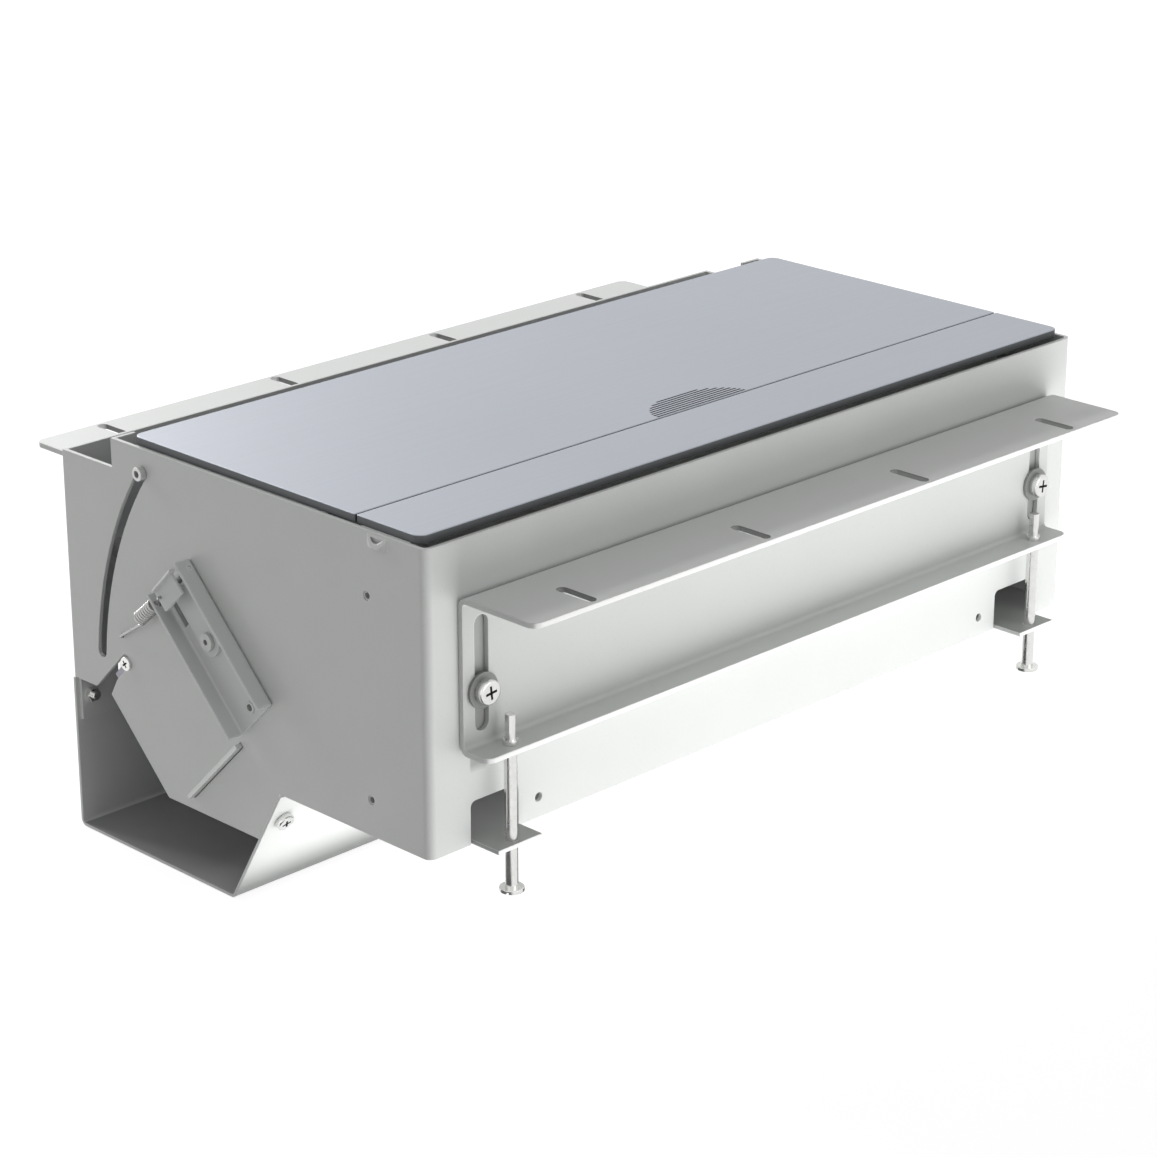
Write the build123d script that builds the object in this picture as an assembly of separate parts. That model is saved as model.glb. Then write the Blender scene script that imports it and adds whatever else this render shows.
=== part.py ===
from build123d import *
import math
import os

# Conference table box: a sheet steel box that hangs under a cut-out in a table top.
# Its lid swings back and down on two arms, and uncovers sockets set at 45 degrees.
# X runs along the box, the front faces -Y, and Z = 0 is the underside of the cable tray.
# Both ends are alike, so each left piece is mirrored to make the right one.

# Housing, in millimetres
length = 451.2
depth = 256.5
wall_height = 146.5
tray_drop = 65.5
sheet = 2.0
bend_inside = 2.0
rivet_hole = 4.8
fixing_hole_r = 2.25
fixing_inset = 67.0
fixing_height = 10.1

# End plate outline, measured from the front face and from the tray's underside
skirt_height = 37.5
skirt_rear_inset = 70.5
rear_cut_height = 80.0
step_depth = 38.5
step_drop = 14.5
return_flange = 13.5
return_flange_height = 8.0
skirt_flange = 14.0
bump_from_front = 30.5
bump_width = 13.0
bump_height = 5.5
bump_proud = 2.4

# Lid and its swing
lid_thickness = 4.0
lid_end_gap = 2.75
lid_corner = 5.0
strip_front = 6.0
strip_rear = 47.0
lid_front = 48.0
lid_rear_inset = 52.0
grip_half_width = 31.0
grip_depth = 20.0
grip_pitch = 2.3
grip_groove_width = 1.1
grip_groove_depth = 0.5
pivot_from_front = 38.3
pivot_above_housing = 17.6
slot_rear_inset = 22.7
guide_pin_drop = 11.79
swing_angle = 31.8
slot_width = 6.4
guide_pin_d = 6.0
guide_sleeve_d = 6.8
guide_sleeve_proud = 3.5
guide_bore_d = 3.5
pivot_pin_d = 4.7
running_gap = 0.05

# Swing arms
arm_sheet = 2.0
arm_gap = 0.6
arm_flange = 14.0
arm_bar_height = 16.5
arm_bar_front = 66.0
arm_boss_r = 9.0
arm_knee_share = 0.4708
arm_bar_past_pin = 6.0
arm_screw_insets = (24.0, 30.844)
arm_screw_inset = 9.0
strip_rivet_drop = 30.9
strip_support_height = 44.0

# Cable tray
tray_sheet = 1.5
tray_foot = 139.0
tray_slope = 60.0
base_flange_drop = 13.0
rear_wall_lap = 10.5
rear_flange_height = 51.0
rear_flange_width = 10.0
tray_screw_inset = 9.0
tray_screw_height = 47.1
rear_screw_inset = 7.5
rear_screw_height = 69.5

# Sloping mechanism, from the lower front corner of the latch channel
slope = 45.0
face_foot_from_rear = 151.85
face_foot_drop = 101.4
channel_length = 79.6
channel_width = 32.0
channel_flange = 9.6
channel_sheet = 1.5
channel_rivet = (6.4, -15.2)
channel_rivet_bore_d = 3.6
lever_pivot = (43.5, -16.0)
lever_pivot_d = 4.0
latch_plate = (66.0, 78.2, -22.6, -4.9)
latch_lip_top = -1.7
latch_tongue = (3.0, 7.0)
latch_tongue_inset = 8.0
latch_window_middle = (67.5, -18.7)
latch_window_size = (20.0, 19.4)
latch_stop_hole = (50.9, -23.2)
flange_hole = (75.2, 3.6)
flange_hole_r = 1.3
latch_lip_height = 2.0
latch_riser = (72.0, -16.0)
latch_hole = (73.0, -20.7)
latch_hole_r = 0.9
spring_hole_r = 1.5
hook_hole = (80.5, -77.5)
spring_start = 12.3
spring_d = 7.6
spring_wire = 1.2
spring_coils = 8
spring_pitch = 2.4

# Module carrier
carrier_sheet = 2.0
carrier_inset = 6.0
carrier_top = -11.5
carrier_foot = -92.0
carrier_front = -3.7
carrier_back = 70.0
carrier_screw = (68.95, -85.2)
carrier_boss_r = 4.2
carrier_lug = (66.0, 71.2, -101.0, -83.5)
cheek_past_screw = 5.5
cheek_step = (-82.0, -75.0)
slit_width = 6.2
slit_middle = 70.5
slit_top = -82.2
slit_mouth = -125.0
tab_top = -37.4
tab_foot = -90.4
tab_proud = 3.5
module_count = 8
module_end_margin = 21.6
module_spacing = 6.0
blank_overlap = 2.25
blank_proud = 1.8

# Rails
rail_end_inset = 18.6
rail_height = 74.5
rail_sheet = 2.5
rail_wall_gap = 0.3
rail_flange = 48.0
rail_lower_flange = 18.0
rail_corner = 5.0
table_thickness = 30.0
bolt_slot_count = 4
bolt_slot_inset = 38.4
bolt_slot_width = 5.6
bolt_slot_length = 23.0
bolt_slot_from_wall = 34.5
web_slot_inset = 29.8
web_slot_width = 8.4
web_slot_length = 55.0
web_slot_foot = 9.0

# Screws of the rails
lock_screw_d = 6.0
lock_head_d = 12.0
lock_head_height = 4.6
lock_washer_d = 17.0
lock_washer_thickness = 1.6
lock_nut_d = 11.0
lock_screw_above_housing = 74.6
jack_inset = 38.9
jack_from_wall = 11.3
jack_d = 6.0
jack_journal_d = 5.0
jack_collar_d = 7.2
jack_collar_height = 2.2
jack_tip_height = 12.0
jack_tip_flats = 4.2
jack_head_d = 11.6
jack_head_height = 2.1
jack_head_drop = 21.1
jack_head_slot = 1.6
jack_slot_turn = 24.0
window_inset = 24.8
window_width = 29.5
window_height = 21.0
tab_width = 27.0
tab_reach = 16.5

# Small screws: head diameter and height, thread diameter, length, width of the cross
carrier_screw_sizes = (7.0, 1.8, 3.0, 9.0, 3.8)
tray_front_screw_sizes = (9.4, 3.2, 4.0, 7.0, 4.8)
tray_rear_screw_sizes = (8.0, 2.8, 4.0, 8.5, 4.2)

# Worked out from the sizes above
housing_top = tray_drop + wall_height
front = -depth / 2
back = depth / 2
end = length / 2
pivot_z = tray_drop + pivot_above_housing
swing_radius = depth - slot_rear_inset - pivot_from_front
pin_angle = math.degrees(math.asin((housing_top - guide_pin_drop - pivot_z) / swing_radius))
skirt_rear = depth - skirt_rear_inset
lid_rear = depth - lid_rear_inset
face_foot_y = depth - face_foot_from_rear
face_foot_z = housing_top - face_foot_drop
module_pitch = (length - 2 * module_end_margin) / module_count
module_size = module_pitch - module_spacing
rail_length = length - 2 * rail_end_inset
bolt_slot_pitch = (rail_length - 2 * bolt_slot_inset) / (bolt_slot_count - 1)
rear_wall_top = housing_top - step_drop
lid_top = housing_top + lid_thickness
rail_top = lid_top - table_thickness
rail_foot = rail_top - rail_height
window_x = end - window_inset - window_width / 2
jack_x = end - jack_inset
lock_x = end - web_slot_inset
lock_z = tray_drop + lock_screw_above_housing
seat_gap = 0.1
strip_rivet_z = housing_top - strip_rivet_drop
tab_x = carrier_front + carrier_sheet / 2
hook_top = -channel_flange + 0.8
hook_foot = -channel_sheet + seat_gap


def end_view(inset):
    """Side view at a distance inside the left end face: x is behind the front, y is up."""
    return Plane(origin=(inset - end, front, 0), x_dir=(0, 1, 0), z_dir=(1, 0, 0))


def slope_view(inset):
    """Side view turned to the sloping mechanism: x runs up to the rear, y up to the front."""
    rise = math.radians(slope)
    return Plane(
        origin=(inset - end, front + face_foot_y, face_foot_z),
        x_dir=(0, math.cos(rise), math.sin(rise)),
        z_dir=(1, 0, 0),
    )


def polygon(points):
    """Closed face through the given corners."""
    return make_face(Polyline(*points, close=True))


def mirrored(part):
    """The same piece at the other end."""
    return mirror(part, about=Plane.YZ)


def pair(part):
    """A piece and its mirror image, as one group of separate solids."""
    return Compound([*part.solids(), *mirrored(part).solids()])


def rod(plane, x, y, radius, height):
    """Cylinder that starts on a plane and runs along its normal."""
    return extrude(plane * Pos(x, y) * Circle(radius), height)


def tray_line(height, inward=0.0):
    """Distance behind the front of the tray's sloping wall, at a height."""
    lean = math.radians(tray_slope)
    return tray_foot - height / math.tan(lean) + inward / math.sin(lean)


def swing_point(angle, radius=swing_radius):
    """Point on the lid's swing, as distance behind the front and height."""
    turn = math.radians(angle)
    return pivot_from_front + radius * math.cos(turn), pivot_z + radius * math.sin(turn)


def end_plate_outline():
    """Outline of the end plate, with its skirt over the end of the cable tray."""
    skirt_top = tray_line(tray_drop, tray_sheet)
    skirt_foot = tray_line(skirt_height, tray_sheet)
    slant = rear_cut_height - skirt_height
    return polygon([
        (0, tray_drop),
        (skirt_top, tray_drop),
        (skirt_foot, skirt_height),
        (skirt_rear, skirt_height),
        (skirt_rear + slant, rear_cut_height),
        (depth, rear_cut_height),
        (depth, rear_wall_top),
        (depth - step_depth, rear_wall_top),
        (depth - step_depth, housing_top),
        (0, housing_top),
    ])


def through_end_plate(sketch, plane):
    """Cutter through the left end plate."""
    return extrude(plane * sketch, sheet * 2, both=True)


def arc_slot():
    """Curved slot for the guide pin, centred on the pivot."""
    spare = math.degrees(running_gap / swing_radius)
    arc = CenterArc(
        (pivot_from_front, pivot_z),
        swing_radius,
        pin_angle - swing_angle - spare,
        swing_angle + 2 * spare,
    )
    return SlotArc(arc, slot_width)


def carrier_slit():
    """Open slit up which the carrier's end screw slides, widened at its mouth."""
    blind_end = slit_top - slit_width / 2
    slit = Pos(slit_middle, (blind_end + slit_mouth) / 2) * Rectangle(slit_width, blind_end - slit_mouth)
    tip = Pos(slit_middle, blind_end) * Circle(slit_width / 2)
    side = slit_middle - slit_width / 2
    flare = polygon([
        (slit_middle, slit_top - 16.8),
        (side, slit_top - 16.8),
        (side - 4.5, slit_top - 33.0),
        (slit_middle, slit_mouth),
    ])
    return slit + tip + flare


def housing_bump():
    """Lanced bump on the outside of the left end plate, open at its foot."""
    radius = ((bump_width / 2) ** 2 + bump_proud ** 2) / (2 * bump_proud)
    foot = housing_top - 1.2 - bump_height
    at = Pos(-end + radius - bump_proud, front + bump_from_front, foot)
    skin = Cylinder(radius, bump_height, align=(Align.CENTER, Align.CENTER, Align.MIN))
    skin -= Cylinder(radius - 1.1, bump_height - 1.1, align=(Align.CENTER, Align.CENTER, Align.MIN))
    bump = at * skin
    keep = polygon([
        (-end - bump_proud, foot),
        (-end + 0.5, foot),
        (-end + 0.5, foot + bump_height),
        (-end, foot + bump_height),
    ])
    side = Plane(origin=(0, front + bump_from_front, 0), x_dir=(1, 0, 0), z_dir=(0, -1, 0))
    return bump & extrude(side * keep, bump_width, both=True)


def housing_skirt_flange():
    """Flange bent in from the end plate's sloping edge, behind the tray's wall."""
    low = skirt_height + 4.0
    high = tray_drop - 4.0
    lean = math.radians(tray_slope)
    up = sheet * math.cos(lean)
    in_ = sheet * math.sin(lean)
    line = [(tray_line(z, tray_sheet), z) for z in (low, high)]
    shape = polygon([line[0], line[1], (line[1][0] + in_, line[1][1] + up), (line[0][0] + in_, line[0][1] + up)])
    return extrude(end_view(0) * shape, skirt_flange)


def housing_return_flange():
    """Flange bent in at the top rear corner of the end plate."""
    rear = depth - step_depth
    shape = polygon([(rear - sheet, housing_top - return_flange_height), (rear, housing_top - return_flange_height),
                     (rear, housing_top), (rear - sheet, housing_top)])
    return extrude(end_view(0) * shape, return_flange)


def make_housing():
    """Front wall and both end plates, folded from one sheet."""
    outer = fillet(Rectangle(length, depth).vertices().group_by(Axis.Y)[0], bend_inside + sheet)
    inner_face = Pos(0, sheet) * Rectangle(length - 2 * sheet, depth)
    inner = fillet(inner_face.vertices().group_by(Axis.Y)[0], bend_inside)
    shell = Pos(0, 0, skirt_height) * extrude(outer - inner, housing_top - skirt_height)
    shell &= extrude(end_view(0) * end_plate_outline(), length)

    cuts = through_end_plate(arc_slot(), end_view(0))
    cuts += through_end_plate(Pos(pivot_from_front, pivot_z) * Circle(rivet_hole / 2), end_view(0))
    cuts += through_end_plate(Pos(pivot_from_front, strip_rivet_z) * Circle(rivet_hole / 2), end_view(0))
    cuts += through_end_plate(carrier_slit(), slope_view(0))
    tab_slot = Pos(tab_x, (tab_top + tab_foot) / 2) * Rectangle(carrier_sheet + 1.0, tab_top - tab_foot + 1.0)
    cuts += through_end_plate(tab_slot, slope_view(0))
    cuts += through_end_plate(latch_window(), slope_view(0))
    cuts += through_end_plate(Pos(*channel_rivet) * Circle(rivet_hole / 2), slope_view(0))
    cuts += through_end_plate(Pos(*lever_pivot) * Circle(lever_pivot_d / 2), slope_view(0))
    cuts += through_end_plate(Pos(*hook_hole) * Circle(spring_wire), slope_view(0))

    additions = housing_bump() + housing_skirt_flange() + housing_return_flange()
    additions -= rod(tray_wall_plane(tray_screw_inset), 0, 0, 2.05, 8.0)
    shell = shell - cuts - mirrored(cuts) + additions + mirrored(additions)

    for side in (-1, 1):
        window = Pos(side * window_x, front, tray_drop + window_height / 2)
        shell -= window * window_shape()
        shell -= Pos(side * (end - fixing_inset), front, tray_drop + fixing_height) * (
            Rot(90, 0, 0) * Cylinder(fixing_hole_r, 3 * sheet))
        shell -= Pos(side * lock_x, front, lock_z) * (
            Rot(90, 0, 0) * Cylinder(lock_screw_d / 2 + running_gap, 3 * sheet))
    return shell


def window_shape():
    """Opening at the foot of a wall, with rounded top corners."""
    face = Rectangle(window_width, window_height)
    face = fillet(face.vertices().group_by(Axis.Y)[-1], 3.0)
    return extrude(Plane.XZ * face, 3 * sheet, both=True)


def tray_wall_plane(inset):
    """Plane on the outside of the tray's sloping wall, at its screw, facing into the tray."""
    lean = math.radians(tray_slope)
    return Plane(
        origin=(inset - end, front + tray_line(tray_screw_height), tray_screw_height),
        x_dir=(1, 0, 0),
        z_dir=(0, math.sin(lean), math.cos(lean)),
    )


def jack_tab(side, wall_y, outward, from_y):
    """Tab with a tapped hole for a jack screw, that reaches out past a wall."""
    reach = abs(wall_y + outward * tab_reach - from_y)
    middle = (wall_y + outward * tab_reach + from_y) / 2
    tab = Pos(side * window_x, middle, tray_drop + sheet / 2) * Box(tab_width, reach, sheet)
    hole = Pos(side * jack_x, wall_y + outward * jack_from_wall, tray_drop) * Cylinder(
        jack_d / 2 + running_gap, 4 * sheet)
    return tab - hole


def make_base_plate():
    """Floor of the front part, with tabs through the windows and a flange down the tray."""
    half = sheet / 2
    knee = tray_line(tray_drop + half, tray_sheet + half)
    low = tray_drop - base_flange_drop
    line = FilletPolyline(
        (sheet, tray_drop + half),
        (knee, tray_drop + half),
        (tray_line(low, tray_sheet + half), low),
        radius=bend_inside + half,
    )
    flange_start = skirt_flange + 6.0
    plate = extrude(end_view(flange_start) * trace(line, line_width=sheet), length - 2 * flange_start)
    floor_depth = knee - sheet - 8.0
    floor = Rectangle(length - 2 * sheet, floor_depth)
    floor = fillet(floor.vertices().group_by(Axis.Y)[0], bend_inside)
    plate += Pos(0, front + sheet + floor_depth / 2, tray_drop) * extrude(floor, sheet)
    for side in (-1, 1):
        plate += jack_tab(side, front, -1, front + sheet)
        plate -= Pos(side * jack_x, front - jack_from_wall, tray_drop) * Cylinder(
            jack_d / 2 + running_gap, 4 * sheet)
    return plate


def make_rear_wall():
    """Rear wall between the end plates, with end flanges and tabs for its jack screws."""
    foot = tray_drop + sheet - rear_wall_lap
    flange_high = rear_wall_top - 2 * sheet
    wall = Pos(0, back - sheet / 2, (foot + rear_wall_top) / 2) * Box(
        length - 2 * sheet, sheet, rear_wall_top - foot)
    for side in (-1, 1):
        flange = Pos(side * (end - 1.5 * sheet), back - sheet - rear_flange_width / 2, flange_high)
        wall += flange * Box(
            sheet, rear_flange_width, rear_flange_height, align=(Align.CENTER, Align.CENTER, Align.MAX))
        wall -= Pos(side * window_x, back, tray_drop + window_height / 2) * window_shape()
        wall += jack_tab(side, back, 1, back - sheet)
        wall -= Pos(side * lock_x, back, lock_z) * (
            Rot(90, 0, 0) * Cylinder(lock_screw_d / 2 + running_gap, 3 * sheet))
        wall -= Pos(side * (end - rear_screw_inset), back, rear_screw_height) * (
            Rot(90, 0, 0) * Cylinder(2.05, 3 * sheet))
    return wall


def make_cable_tray():
    """Trough with open ends: sloping front wall, floor and rear wall outside the housing."""
    half = tray_sheet / 2
    rear = depth + half
    top = rear_cut_height - 0.5
    line = FilletPolyline(
        (tray_line(tray_drop - tray_sheet, half), tray_drop - tray_sheet),
        (tray_line(half, half), half),
        (rear, half),
        (rear, top),
        radius=bend_inside + half,
    )
    tray = extrude(end_view(0) * trace(line, line_width=tray_sheet), length)
    for side in (-1, 1):
        clear = tab_width + 4.0
        notch_foot = tray_drop - 2.5
        tray -= Pos(side * window_x, back + half, (notch_foot + top) / 2 + 1.0) * Box(
            clear, 4 * tray_sheet, top - notch_foot + 2.0)
        tray -= Pos(side * (end - rear_screw_inset), back + half, rear_screw_height) * (
            Rot(90, 0, 0) * Cylinder(2.05, 4 * tray_sheet))
    hole = rod(tray_wall_plane(tray_screw_inset).offset(-2.0), 0, 0, 2.05, 6.0)
    return tray - hole - mirrored(hole)


def make_front_strip():
    """Fixed cover strip in front of the lid."""
    strip = Rectangle(2 * (end - lid_end_gap), strip_rear - strip_front)
    strip = fillet(strip.vertices().group_by(Axis.Y)[0], lid_corner)
    strip = fillet(strip.vertices().group_by(Axis.Y)[-1], 0.8)
    middle = front + (strip_front + strip_rear) / 2
    plate = Pos(0, middle, housing_top) * extrude(strip, lid_thickness)
    return chamfer(plate.faces().sort_by(Axis.Z)[-1].edges(), 0.3)


def make_strip_support():
    """Angle behind the front strip, with end flanges riveted to the end plates."""
    half = sheet / 2
    foot = housing_top - strip_support_height
    rear = strip_rear - 1.0
    line = FilletPolyline(
        (12.0, housing_top - half),
        (rear - half, housing_top - half),
        (rear - half, foot),
        radius=bend_inside + half,
    )
    support = extrude(end_view(sheet) * trace(line, line_width=sheet), length - 2 * sheet)
    flange_height = 24.0
    flange_front = pivot_from_front - 8.0
    flange = Pos((flange_front + rear) / 2, strip_rivet_z) * Rectangle(rear - flange_front, flange_height)
    flange = extrude(end_view(sheet) * flange, sheet)
    flange -= extrude(end_view(0) * Pos(pivot_from_front, strip_rivet_z) * Circle(rivet_hole / 2), 8.0)
    return support + flange + mirrored(flange)


def make_strip_rivets():
    """Hollow rivets that hold the strip support to the end plates."""
    plane = end_view(0.4)
    rivet = rod(plane, pivot_from_front, strip_rivet_z, rivet_hole / 2, 2 * sheet - 0.4)
    rivet += rod(end_view(2 * sheet), pivot_from_front, strip_rivet_z, 3.6, 1.2)
    rivet -= rod(plane, pivot_from_front, strip_rivet_z, 1.5, 3.2)
    return pair(rivet)


def make_lid_panel():
    """Lid plate with a grip of fine grooves at the middle of its front edge."""
    panel = Rectangle(2 * (end - lid_end_gap), lid_rear - lid_front)
    panel = fillet(panel.vertices().group_by(Axis.Y)[-1], lid_corner)
    panel = fillet(panel.vertices().group_by(Axis.Y)[0], 0.8)
    middle = front + (lid_front + lid_rear) / 2
    plate = Pos(0, middle, housing_top) * extrude(panel, lid_thickness)
    plate = chamfer(plate.faces().sort_by(Axis.Z)[-1].edges(), 0.3)
    for i in range(int(grip_depth / grip_pitch)):
        behind = grip_pitch * (i + 0.7)
        half_width = grip_half_width * math.sqrt(1 - (behind / grip_depth) ** 2)
        groove = Box(2 * half_width, grip_groove_width, 2 * grip_groove_depth)
        plate -= Pos(0, front + lid_front + behind, lid_top) * groove
    return plate


def make_swing_arm():
    """Left arm: a strut from the pivot to a bar and flange under the lid."""
    bar_foot = housing_top - arm_bar_height
    pin_y, pin_z = swing_point(pin_angle)
    bar_rear = pin_y + arm_bar_past_pin
    knee = (pivot_from_front + arm_knee_share * (pin_y - pivot_from_front), bar_foot + 6.0)
    dy = knee[0] - pivot_from_front
    dz = knee[1] - pivot_z
    strut_length = math.hypot(dy, dz)
    strut_angle = math.degrees(math.atan2(dz, dy))
    strut = Pos(pivot_from_front, pivot_z) * Rot(0, 0, strut_angle) * (
        Pos(strut_length / 2, 0) * SlotCenterToCenter(strut_length, 2 * arm_boss_r))
    bar = Pos((arm_bar_front + bar_rear) / 2, housing_top - arm_bar_height / 2) * Rectangle(
        bar_rear - arm_bar_front, arm_bar_height)
    bar = fillet(bar.vertices().group_by(Axis.Y)[0], 5.0)
    shape = bar + strut
    shape -= Pos(pivot_from_front, pivot_z) * Circle(pivot_pin_d / 2 + running_gap)
    shape -= Pos(pin_y, pin_z) * Circle(guide_pin_d / 2 - 1.0)
    web = extrude(end_view(sheet + arm_gap) * shape, arm_sheet)
    flange_front = arm_bar_front + 3.0
    flange_rear = bar_rear - 5.0
    flange = Pos((flange_front + flange_rear) / 2, housing_top - arm_sheet / 2) * Rectangle(
        flange_rear - flange_front, arm_sheet)
    web += extrude(end_view(sheet + arm_gap) * flange, arm_flange)
    for y in arm_screw_places():
        web -= Pos(sheet + arm_gap + arm_screw_inset - end, front + y, housing_top) * Cylinder(2.05, 4 * arm_sheet)
    return web


def arm_screw_places():
    """Distances behind the front of the screws along an arm."""
    bar_rear = swing_point(pin_angle)[0] + arm_bar_past_pin
    return arm_bar_front + arm_screw_insets[0], bar_rear - arm_screw_insets[1]


def make_arm_screws():
    """Low countersunk screws that hold the arms' flanges to the lid."""
    group = []
    for y in arm_screw_places():
        at = Pos(sheet + arm_gap + arm_screw_inset - end, front + y, housing_top - arm_sheet)
        screw = at * Cylinder(2.05, arm_sheet, align=(Align.CENTER, Align.CENTER, Align.MIN))
        head = Pos(0, 0, -1.0) * Cylinder(3.6, 1.0, align=(Align.CENTER, Align.CENTER, Align.MIN))
        head = chamfer(head.edges().group_by(Axis.Z)[0], 0.4)
        group.append(screw + at * head)
    return Compound([part.solid() for screw in group for part in (screw, mirrored(screw))])


def make_guide_pin():
    """Hollow pin riveted in the left arm, that runs in the arc slot."""
    pin_y, pin_z = swing_point(pin_angle)
    lift = 0.4
    pin = rod(end_view(-lift), pin_y, pin_z, guide_pin_d / 2, lift + sheet + arm_gap)
    pin += rod(end_view(sheet + arm_gap), pin_y, pin_z, guide_pin_d / 2 - 1.0, arm_sheet)
    pin += rod(end_view(sheet + arm_gap + arm_sheet), pin_y, pin_z, guide_pin_d / 2 + 0.5, 1.0)
    sleeve = rod(end_view(-guide_sleeve_proud), pin_y, pin_z, guide_sleeve_d / 2, guide_sleeve_proud - lift)
    pin += chamfer(sleeve.edges().group_by(Axis.X)[0], 0.3).solid()
    return pin - rod(end_view(-guide_sleeve_proud), pin_y, pin_z, guide_bore_d / 2, guide_sleeve_proud + sheet)


def make_pivot_pins():
    """Hollow pins in the end plates on which the arms turn."""
    plane = end_view(0.4)
    inner = 2 * sheet + arm_gap
    pin = rod(plane, pivot_from_front, pivot_z, rivet_hole / 2, sheet - 0.4)
    pin += rod(end_view(sheet), pivot_from_front, pivot_z, pivot_pin_d / 2, arm_gap + arm_sheet + 0.2)
    pin += rod(end_view(inner + 0.2), pivot_from_front, pivot_z, 4.2, 1.2)
    pin -= rod(plane, pivot_from_front, pivot_z, 1.5, 3.4)
    return pair(pin)


def latch_window():
    """Window in the channel's web and the end plate behind the latch lever."""
    return Pos(*latch_window_middle) * Rectangle(*latch_window_size)


def make_latch_channel():
    """Left channel on the outside of the end plate, flanges outwards."""
    half = channel_sheet / 2
    profile = FilletPolyline(
        (0, channel_flange),
        (0, half),
        (channel_width - channel_sheet, half),
        (channel_width - channel_sheet, channel_flange),
        radius=1.0 + half,
    )
    plane = slope_view(0)
    section = Plane(origin=plane.origin - plane.y_dir * half, x_dir=-plane.y_dir, z_dir=plane.x_dir)
    channel = extrude(section * trace(profile, line_width=channel_sheet), channel_length)
    cuts = extrude(slope_view(0) * latch_window(), 2 * channel_sheet, both=True)
    cuts += rod(slope_view(-4.0), *channel_rivet, rivet_hole / 2, 8.0)
    cuts += rod(slope_view(-4.0), *lever_pivot, lever_pivot_d / 2, 8.0)
    cuts += rod(slope_view(-4.0), *latch_stop_hole, 1.4, 8.0)
    share = (channel_width - channel_sheet / 2 + latch_hole[1]) / (latch_hole[1] - hook_hole[1])
    spring_a = latch_hole[0] + share * (hook_hole[0] - latch_hole[0])
    spring_x = hook_top + share * (hook_foot - hook_top)
    low_hole = slope_view(spring_x).from_local_coords((spring_a, -channel_width - 3.0, 0))
    cuts += rod(Plane(origin=low_hole, z_dir=plane.y_dir), 0, 0, spring_hole_r, 6.0)
    top_hole = slope_view(-flange_hole[1]).from_local_coords((flange_hole[0], 3.0, 0))
    cuts += rod(Plane(origin=top_hole, z_dir=-plane.y_dir), 0, 0, flange_hole_r, 6.0)
    return channel - cuts


def make_channel_rivets():
    """Hollow rivets that hold the channels to the end plates."""
    rivet = rod(slope_view(-channel_sheet), *channel_rivet, rivet_hole / 2, channel_sheet + sheet)
    rivet += rod(slope_view(-channel_sheet - 0.5), *channel_rivet, rivet_hole / 2 + 0.7, 0.5)
    rivet -= rod(slope_view(-channel_sheet - 1.0), *channel_rivet, channel_rivet_bore_d / 2, 4.0)
    return pair(rivet)


def lever_face():
    """Inset of the latch lever's outer face where it lies on the channel."""
    return -channel_sheet - seat_gap - channel_sheet


def make_latch_lever():
    """Left lever: a strip in the channel, with a riser to an outer plate for the spring."""
    inner = -channel_sheet - seat_gap
    outer = -channel_flange - seat_gap
    stem = Pos((latch_riser[0] + channel_sheet + 36.0) / 2, latch_riser[1]) * Rectangle(
        latch_riser[0] + channel_sheet - 36.0, 13.0)
    stem = fillet(stem.vertices().group_by(Axis.X)[0], 6.0)
    lever = extrude(slope_view(inner - channel_sheet) * stem, channel_sheet)
    riser = Pos(latch_riser[0] + channel_sheet / 2, latch_riser[1]) * Rectangle(channel_sheet, 8.0)
    lever += extrude(slope_view(outer - channel_sheet) * riser, inner - outer + channel_sheet)

    low, high, foot, top = latch_plate
    plate = Pos((low + high) / 2, (foot + top) / 2) * Rectangle(high - low, top - foot)
    plate = fillet(plate.vertices(), 0.8)
    lever += extrude(slope_view(outer - channel_sheet) * plate, channel_sheet)
    lip = Pos(high - channel_sheet / 2, (foot + latch_lip_top) / 2) * Rectangle(
        channel_sheet, latch_lip_top - foot - 1.6)
    lip = extrude(slope_view(outer - channel_sheet - latch_lip_height) * lip, latch_lip_height + channel_sheet)
    rim = lip.faces().sort_by(Axis.X)[0].edges().sort_by(Axis((0, 0, 0), slope_view(0).x_dir))[-1]
    lever += chamfer(rim, channel_sheet / 2)

    tongue = Pos(latch_riser[0] - latch_tongue_inset, latch_riser[1]) * Rectangle(*latch_tongue)
    lever += extrude(slope_view(inner - channel_sheet) * tongue, sheet - inner + channel_sheet - 0.3)
    lever -= rod(slope_view(inner - 2 * channel_sheet), *lever_pivot, lever_pivot_d / 2 + running_gap, 3 * channel_sheet)
    lever -= rod(slope_view(outer - 2 * channel_sheet), *latch_hole, latch_hole_r, 3 * channel_sheet)
    return lever


def make_lever_pivots():
    """Hollow rivets on which the latch levers turn."""
    face = lever_face() - seat_gap
    pivot = rod(slope_view(face), *lever_pivot, lever_pivot_d / 2, sheet - face)
    pivot += rod(slope_view(face - 1.8), *lever_pivot, 4.4, 1.8)
    pivot -= rod(slope_view(face - 3.0), *lever_pivot, 1.4, 5.5)
    return pair(pivot)


def spring_plane():
    """Plane under the latch lever's hole, facing down the spring, and the spring's reach."""
    start = slope_view(hook_top).from_local_coords((*latch_hole, 0))
    finish = slope_view(hook_foot).from_local_coords((*hook_hole, 0))
    return Plane(origin=start, z_dir=finish - start), (finish - start).length


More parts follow.
